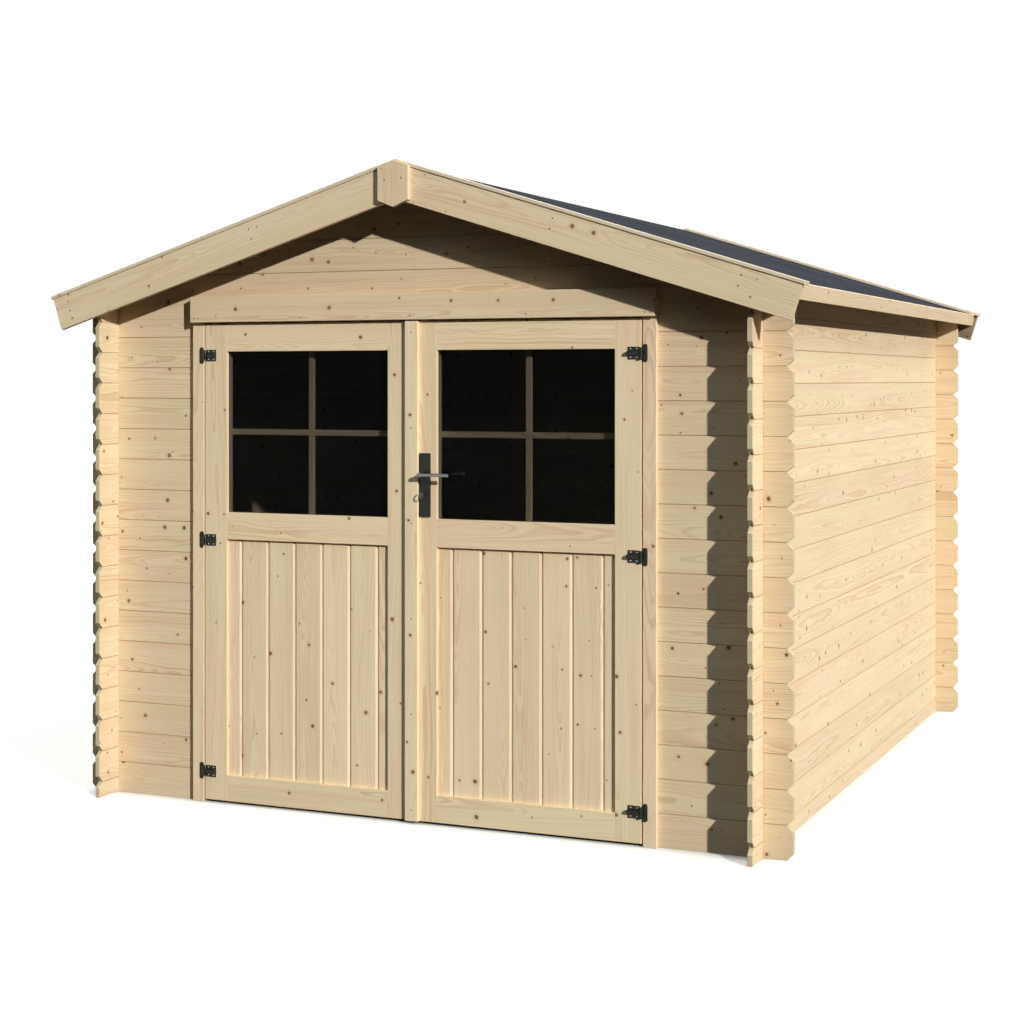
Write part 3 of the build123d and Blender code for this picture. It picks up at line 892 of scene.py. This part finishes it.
class SHED_OT_door_frame(bpy.types.Operator):
    """Build the door posts, the head and the lintel board"""
    bl_idname = "shed.door_frame"
    bl_label = "Door frame"

    def execute(self, context):
        for side in ("left", "right"):
            timber_piece("door_post_" + side, Z, X, door_timber(), slot="door_wood")
        timber_piece("door_head", X, Z, door_timber(), slot="door_wood")
        timber_piece("lintel_board", X, Z, trim_timber())
        return {"FINISHED"}


class SHED_OT_leaves(bpy.types.Operator):
    """Build both door leaves: stiles, rails, boarded panels and the cover strip"""
    bl_idname = "shed.leaves"
    bl_label = "Door leaves"

    def execute(self, context):
        for side in ("left", "right"):
            body = side + "_door"
            timber_piece(side + "_door_stiles", Z, X, door_timber(), body, "door_wood")
            timber_piece(side + "_door_rails", X, Z, door_timber(), body, "door_wood")
            self.panel(side, context.scene.shed_doors)
        timber_piece("cover_strip", Z, X, door_timber(), "right_door", "door_wood")
        return {"FINISHED"}

    def panel(self, side, doors):
        """One panel of upright boards with bevelled joints."""
        node = side + "_door_panel"
        low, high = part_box(node)
        edges = [low.x]
        place = solid_boxes(side + "_door_rails")[0][0].x + doors.first_board
        while place < high.x:
            edges.append(place)
            place += doors.panel_board
        edges.append(high.x)
        lot = random.Random(node)
        boards = []
        for left, right in zip(edges, edges[1:]):
            joint_left = left > low.x
            joint_right = right < high.x
            outline = [(left, high.y), (left, low.y + (doors.joint_depth if joint_left else 0.0))]
            if joint_left:
                outline.append((left + doors.joint_width, low.y))
            if joint_right:
                outline.append((right - doors.joint_width, low.y))
            outline += [(right, low.y + (doors.joint_depth if joint_right else 0.0)), (right, high.y)]
            board = prism(outline, lambda x, y, z: Vector((x, y, z)), low.z, high.z)
            mark_grain(board, Z, X, lot)
            boards.append(board)
        finished_piece(node + "_boards", boards, side + "_door", door_timber(), [node])


class SHED_OT_windows(bpy.types.Operator):
    """Glaze the upper fields and fix the bars behind the glass"""
    bl_idname = "shed.windows"
    bl_label = "Windows"

    def execute(self, context):
        for side in ("left", "right"):
            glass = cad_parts[side + "_door_glass"]
            glass.data.materials.clear()
            glass.data.materials.append(window_glass())
            self.bars(side, context.scene.shed_doors, context.scene.shed_timber.edge_bevel)
        return {"FINISHED"}

    def bars(self, side, doors, edge_bevel):
        """One window's level bar and the upright bars below and above it, on the back of the frame."""
        rails = solid_boxes(side + "_door_rails")
        low = Vector((rails[1][0].x, leaf_back_y, rails[1][1].z))
        high = Vector((rails[1][1].x, leaf_back_y + doors.bar_thickness, rails[2][0].z))
        middle = (low + high) / 2
        half = doors.bar_width / 2
        lap = doors.bar_lap
        corners = [(low.x - lap, middle.z - half, high.x + lap, middle.z + half, X, Z)]
        for bottom, top in ((low.z - lap, middle.z - half), (middle.z + half, high.z + lap)):
            corners.append((middle.x - half, bottom, middle.x + half, top, Z, X))
        lot = random.Random("bars" + side)
        bars = []
        for left, bottom, right, top, along, across in corners:
            outline = [(left, bottom), (right, bottom), (right, top), (left, top)]
            bar = prism(outline, lambda x, z, y: Vector((x, y, z)), low.y, high.y)
            bevel(bar, sharp_edges(bar), edge_bevel)
            mark_grain(bar, along, across, lot)
            bars.append(bar)
        finished_piece(side + "_window_bars", bars, side + "_door", door_timber())


class SHED_OT_hinges(bpy.types.Operator):
    """Finish the hinges: softened plates, round barrels and screws"""
    bl_idname = "shed.hinges"
    bl_label = "Hinges"

    def execute(self, context):
        radius = context.scene.shed_metal.screw_radius
        plate_face_y = leaf_face_y - 0.002
        for side, sign in (("left", -1), ("right", 1)):
            leaf = ("leaves", side + "_door", screw_steel())
            for kind, body, finish in (leaf, ("frames", "root", black_paint())):
                node = f"{side}_hinge_{kind}"
                metal_piece(node, "finished", body, "black_metal", black_paint(), [0.003], 0.0005, 2,
                            plate_smoothing)
                places = [Vector((x, plate_face_y, z)) for low, high in solid_boxes(node)
                          for x, z in self.screw_places(kind, low, high, sign)]
                fixings(node + "_screws", [screw_head(place, -Y, radius) for place in places], body, finish)
        return {"FINISHED"}

    def screw_places(self, kind, low, high, sign):
        """Where one plate's screws sit: four on a door leaf's plate and two on a post's."""
        middle_z = (low.z + high.z) / 2
        if kind == "leaves":
            x = (low.x if sign > 0 else high.x) + sign * 0.023
            return [(x + aside, middle_z + above) for aside in (-0.011, 0.011) for above in (-0.014, 0.014)]
        x = (high.x if sign > 0 else low.x) - sign * 0.0085
        return [(x, middle_z + above) for above in (-0.0215, 0.0215)]


class SHED_OT_handle(bpy.types.Operator):
    """Finish the handle plates, the lever and the key"""
    bl_idname = "shed.handle"
    bl_label = "Handle"

    def execute(self, context):
        metal_piece("handle_plates", "finished", "right_door", "black_metal", black_paint(), [0.0005],
                    0.0008, 2, plate_smoothing)
        low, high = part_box("handle_plates")
        middle_x = (low.x + high.x) / 2
        radius = context.scene.shed_metal.screw_radius * 0.85
        from_end = 0.012
        screws = []
        for y, outward in ((low.y, -Y), (high.y, Y)):
            for z in (low.z + from_end, high.z - from_end):
                screws.append(screw_head(Vector((middle_x, y, z)), outward, radius))
        fixings("handle_plate_screws", screws, "right_door", black_paint())
        bright = ("bright_metal", bright_steel())
        metal_piece("handle_lever", "polished", "handle", *bright, (0.0008, 0.9), 0.0016, 3, round_smoothing)
        metal_piece("key", "polished", "right_door", *bright, (0.0004, 0.9), 0.0006, 2, round_smoothing)
        return {"FINISHED"}


class SHED_OT_nails(bpy.types.Operator):
    """Drive the nails of the verge boards, caps, finials, lintel and cover strip"""
    bl_idname = "shed.nails"
    bl_label = "Nails"

    def execute(self, context):
        radius = context.scene.shed_metal.nail_radius
        small = radius * 0.8
        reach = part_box("front_verge_right")[1].x / slope_down.x
        fixings("verge_nails", self.verges(reach, radius))
        fixings("cap_nails", self.caps(reach, small))
        fixings("trim_nails", self.finials(radius) + self.lintel(small))
        fixings("cover_strip_nails", self.cover_strip(small), "right_door")
        return {"FINISHED"}

    def verges(self, reach, radius):
        """Two nails, one above the other, at an upper and a lower place of each verge board."""
        upper_place = 0.62
        lower_gap = {1: 0.2, -1: 0.06}
        nails = []
        for face_y, outward in ((verge_face_y, -Y), (-verge_face_y, Y)):
            for sign in (-1, 1):
                down, up = slope_vectors(sign)
                for along in (upper_place, reach - lower_gap[sign]):
                    for height in (-0.028, -0.064):
                        place = ridge + down * along + up * height + Y * face_y
                        nails.append(nail_head(place, outward, radius))
        return nails

    def caps(self, reach, radius):
        """A row of nails down each cap strip."""
        first = 0.15
        last_gap = 0.06
        spacing = 0.3
        top = 0.012
        from_face = 0.012
        nails = []
        for sign in (-1, 1):
            down, up = slope_vectors(sign)
            for face_y in (verge_face_y + from_face, -verge_face_y - from_face):
                for along in even_places(first, reach - last_gap, spacing):
                    nails.append(nail_head(ridge + down * along + up * top + Y * face_y, up, radius))
        return nails

    def finials(self, radius):
        """Two nails in the face of each finial."""
        nails = []
        for node, outward in (("front_finial", -Y), ("rear_finial", Y)):
            low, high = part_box(node)
            y = (low.y if outward.y < 0 else high.y) - outward.y * nail_room
            for x, below_top in ((-0.032, 0.066), (0.032, 0.062)):
                nails.append(nail_head(Vector((x, y, high.z - below_top)), outward, radius))
        return nails

    def lintel(self, radius):
        """A row of nails along the lower edge of the lintel board: two at each end and three between."""
        low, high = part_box("lintel_board")
        outer_gap = 0.016
        inner_gap = 0.034
        aside = 0.44
        above_edge = 0.014
        places = (low.x + outer_gap, low.x + inner_gap, -aside, 0.0, aside, high.x - inner_gap,
                  high.x - outer_gap)
        return [nail_head(Vector((x, low.y, low.z + above_edge)), -Y, radius) for x in places]

    def cover_strip(self, radius):
        """A row of nails up the middle of the cover strip."""
        low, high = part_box("cover_strip")
        middle_x = (low.x + high.x) / 2
        from_end = 0.04
        spacing = 0.31
        places = even_places(low.z + from_end, high.z - from_end, spacing)
        return [nail_head(Vector((middle_x, low.y, z)), -Y, radius) for z in places]


class SHED_OT_stage(bpy.types.Operator):
    """Set the camera, the lamps, the fill light and the pale floor"""
    bl_idname = "shed.stage"
    bl_label = "Stage"

    def execute(self, context):
        scene = context.scene
        stage = scene.shed_stage
        self.camera(scene, stage)
        self.lamp(scene, "key_light", stage.key_towards, stage.key_strength, 1.2)
        self.lamp(scene, "side_light", stage.side_towards, stage.side_strength, 30.0)
        self.lamp(scene, "back_light", stage.back_towards, stage.back_strength, 60.0)
        self.world(scene, stage)
        self.floor(scene, stage)
        scene.view_settings.view_transform = "Standard"
        return {"FINISHED"}

    def camera(self, scene, stage):
        """The camera, held level, with its picture shifted down."""
        data = bpy.data.cameras.new("camera")
        data.sensor_width = 36.0
        data.lens = stage.camera_lens
        data.shift_y = stage.camera_shift
        camera = bpy.data.objects.new("camera", data)
        camera.location = stage.camera_place
        camera.rotation_euler = (math.pi / 2, 0, stage.camera_turn)
        scene.collection.objects.link(camera)
        scene.camera = camera

    def lamp(self, scene, name, towards, power, spread):
        """One far lamp, whose shadows are as soft as its spread in degrees is wide."""
        data = bpy.data.lights.new(name, "SUN")
        data.energy = power
        data.angle = math.radians(spread)
        data.color = (1.0, 0.985, 0.96)
        lamp = bpy.data.objects.new(name, data)
        lamp.rotation_mode = "QUATERNION"
        lamp.rotation_quaternion = Vector(towards).to_track_quat("Z", "Y")
        scene.collection.objects.link(lamp)

    def seen(self, graph):
        """Whether the camera looks at a place, straight, by gloss or through glass."""
        rays = graph.node("LightPath", {}).outputs
        straight = graph.calc("MAXIMUM", rays["Is Camera Ray"], rays["Is Glossy Ray"])
        return graph.calc("MAXIMUM", straight, rays["Is Transmission Ray"])

    def world(self, scene, stage):
        """A fill light that fades towards the horizon, seen as plain white."""
        scene.world = bpy.data.worlds.new("studio")
        graph = Graph(scene.world)
        height = graph.parts(graph.node("TexCoord", {}).outputs["Generated"])[2]
        power = graph.times(graph.step(height, 0.25, 0.8, 0.01, 1.0), stage.fill_strength)
        fill = graph.node("Background", {"Color": (0.85, 0.96, 1.0), "Strength": power})
        white = graph.node("Background", {"Color": (1.0, 1.0, 1.0), "Strength": 1.0})
        both = graph.node("MixShader", {0: self.seen(graph), 1: fill.outputs[0], 2: white.outputs[0]})
        graph.node("OutputWorld", {"Surface": both.outputs[0]})

    def floor(self, scene, stage):
        """A wide pale floor that keeps the shed's shadow and doesn't glow inside the shed."""
        half = 60.0
        corners = [(-half, -half, 0), (half, -half, 0), (half, half, 0), (-half, half, 0)]
        data = bpy.data.meshes.new("floor")
        data.from_pydata(corners, [], [(0, 1, 2, 3)])
        material = bpy.data.materials.new("floor_pale")
        data.materials.append(material)
        graph = Graph(material)
        place = graph.place()
        seen = self.seen(graph)
        level = graph.step(graph.noise(place, 6.0, 1.0), 0.3, 0.7, 0.985, 1.0)
        tone = graph.shaded(graph.mix(seen, stage.floor_bounce, stage.floor), level)
        matte = graph.node("BsdfDiffuse", {"Color": tone})
        power = graph.times(graph.times(seen, self.outside(graph, place)), stage.floor_glow)
        glow = graph.node("Emission", {"Color": (1.0, 1.0, 1.0), "Strength": power})
        both = graph.node("AddShader", {0: matte.outputs[0], 1: glow.outputs[0]})
        graph.node("OutputMaterial", {"Surface": both.outputs[0]})
        floor = bpy.data.objects.new("floor", data)
        scene.collection.objects.link(floor)

    def outside(self, graph, place):
        """One outside the walls and nothing inside them, with a soft edge from their outer faces."""
        away = graph.parts(graph.node("VectorMath", {0: place}, operation="ABSOLUTE").outputs[0])
        side_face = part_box("right_wall")[1].x
        rear_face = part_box("rear_wall")[1].y
        beside = graph.step(away[0], side_face - 0.01, side_face + 0.08)
        before = graph.step(away[1], rear_face - 0.01, rear_face + 0.08)
        return graph.calc("MAXIMUM", beside, before)


settings = {
    "shed_timber": ShedTimberSettings,
    "shed_roof": ShedRoofSettings,
    "shed_doors": ShedDoorSettings,
    "shed_metal": ShedMetalSettings,
    "shed_stage": ShedStageSettings,
}
operators = (SHED_OT_stage, SHED_OT_walls, SHED_OT_roof_timber, SHED_OT_felt, SHED_OT_door_frame,
             SHED_OT_leaves, SHED_OT_windows, SHED_OT_hinges, SHED_OT_handle, SHED_OT_nails)


class SHED_PT_panel(bpy.types.Panel):
    """The shed's pieces and their sizes"""
    bl_idname = "SHED_PT_panel"
    bl_label = "Garden shed"
    bl_space_type = "VIEW_3D"
    bl_region_type = "UI"
    bl_category = "Shed"

    def draw(self, context):
        for operator in operators:
            self.layout.operator(operator.bl_idname)
        for name, group in settings.items():
            box = self.layout.box()
            box.label(text=name.replace("_", " "))
            for key in group.__annotations__:
                box.prop(getattr(context.scene, name), key)


def register():
    for name, group in settings.items():
        bpy.utils.register_class(group)
        setattr(bpy.types.Scene, name, PointerProperty(type=group))
    for item in (*operators, SHED_PT_panel):
        bpy.utils.register_class(item)


def unregister():
    for item in reversed((*operators, SHED_PT_panel)):
        bpy.utils.unregister_class(item)
    for name, group in settings.items():
        delattr(bpy.types.Scene, name)
        bpy.utils.unregister_class(group)


def main():
    register()
    bpy.ops.shed.stage()
    bpy.ops.shed.walls()
    bpy.ops.shed.roof_timber()
    bpy.ops.shed.felt()
    bpy.ops.shed.door_frame()
    bpy.ops.shed.leaves()
    bpy.ops.shed.windows()
    bpy.ops.shed.hinges()
    bpy.ops.shed.handle()
    bpy.ops.shed.nails()


if __name__ == "__main__":
    main()
